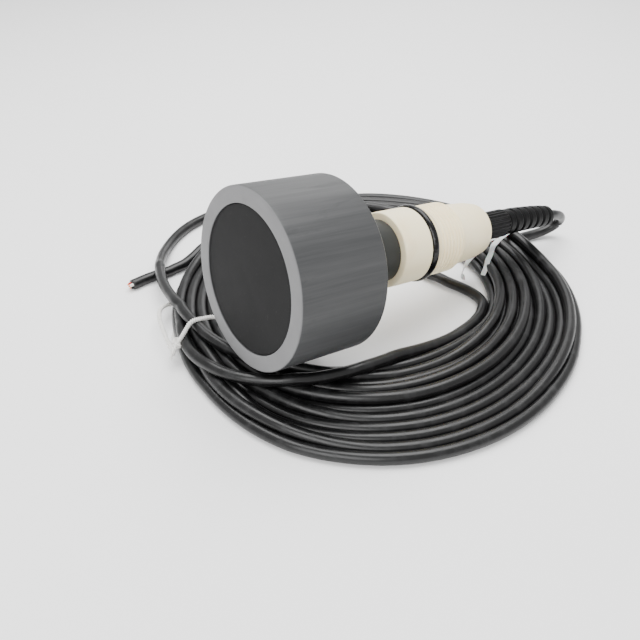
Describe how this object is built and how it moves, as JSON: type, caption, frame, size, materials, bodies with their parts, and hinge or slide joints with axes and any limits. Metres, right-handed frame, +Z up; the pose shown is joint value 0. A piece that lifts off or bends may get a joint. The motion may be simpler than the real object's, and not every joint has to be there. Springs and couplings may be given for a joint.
{
  "type": "ultrasonic distance sensor",
  "caption": "Cup-shaped ultrasonic distance sensor with a dark radiating face, threaded ivory neck, knurled cable gland and a tied coil of black cable.",
  "frame": {"origin": "centre of the sensing face, the datum that distances are measured from", "axes": "+X is the level direction in which the sensor looks (its own axis tips up from it by 9 degrees), +Z is up; the coil of cable lies under it at the lowest Z"},
  "size_m": [0.3406, 0.3332, 0.1314],
  "materials": {
    "grey_pvc": "turned grey PVC with fine streaks",
    "dark_face": "smooth matt face",
    "matching_resin": "filled resin",
    "aluminium": "turned",
    "piezo_ceramic": "fired ceramic with silvered faces",
    "brass": "rolled sheet",
    "steel": "turned",
    "foam_dark": "closed-cell foam",
    "backing_rubber": "cast rubber",
    "dark_pvc": "dark grey PVC pipe",
    "ivory_plastic": "turned, satin",
    "black_rubber": "glossy moulded rubber",
    "thermistor_epoxy": "dipped bead",
    "wire_red": "PVC insulation",
    "wire_black": "PVC insulation",
    "wire_white": "PVC insulation",
    "board_green": "solder mask",
    "transformer_tape": "wound tape",
    "capacitor_sleeve": "shrunk sleeve",
    "terminal_green": "moulded",
    "chip_epoxy": "moulded",
    "gland_nylon": "moulded nylon with lengthwise knurls",
    "seal_rubber": "moulded rubber",
    "clamp_nylon": "moulded nylon",
    "relief_rubber": "satin moulded rings",
    "cable_jacket": "satin extruded jacket",
    "twine": "twisted cotton",
    "tape": "thin milky tape"
  },
  "bodies": {
    "root": {"head_housing": "grey_pvc", "radiating_face": "dark_face", "matching_layer": "matching_resin", "head_mass": "aluminium", "piezo_ring_front": "piezo_ceramic", "piezo_ring_rear": "piezo_ceramic", "electrode_plate": "brass", "tail_mass": "steel", "tension_bolt": "steel", "isolation_ring": "foam_dark", "thermistor": "thermistor_epoxy", "backing_ring": "backing_rubber", "wire_signal": "wire_red", "wire_return": "wire_black", "wire_thermistor": "wire_white", "rear_stub": "dark_pvc", "spigot_o_ring": "black_rubber", "threaded_neck": "ivory_plastic", "neck_o_ring": "black_rubber", "circuit_board": "board_green", "transformer": "transformer_tape", "terminal_block": "terminal_green", "capacitor": "capacitor_sleeve", "signal_chip": "chip_epoxy", "core_red": "wire_red", "core_white": "wire_white", "core_black": "wire_black", "gland_body": "gland_nylon", "gland_seal": "seal_rubber", "gland_clamp": "clamp_nylon", "gland_nut": "gland_nylon", "bend_relief": "relief_rubber", "cable_in_gland": "cable_jacket", "cable_lead": "cable_jacket", "cable_outer_loop": "cable_jacket", "cable_tail": "cable_jacket", "cable_coil": "cable_jacket", "tie_left": "twine", "tie_right": "tape"}
  },
  "joints": []
}
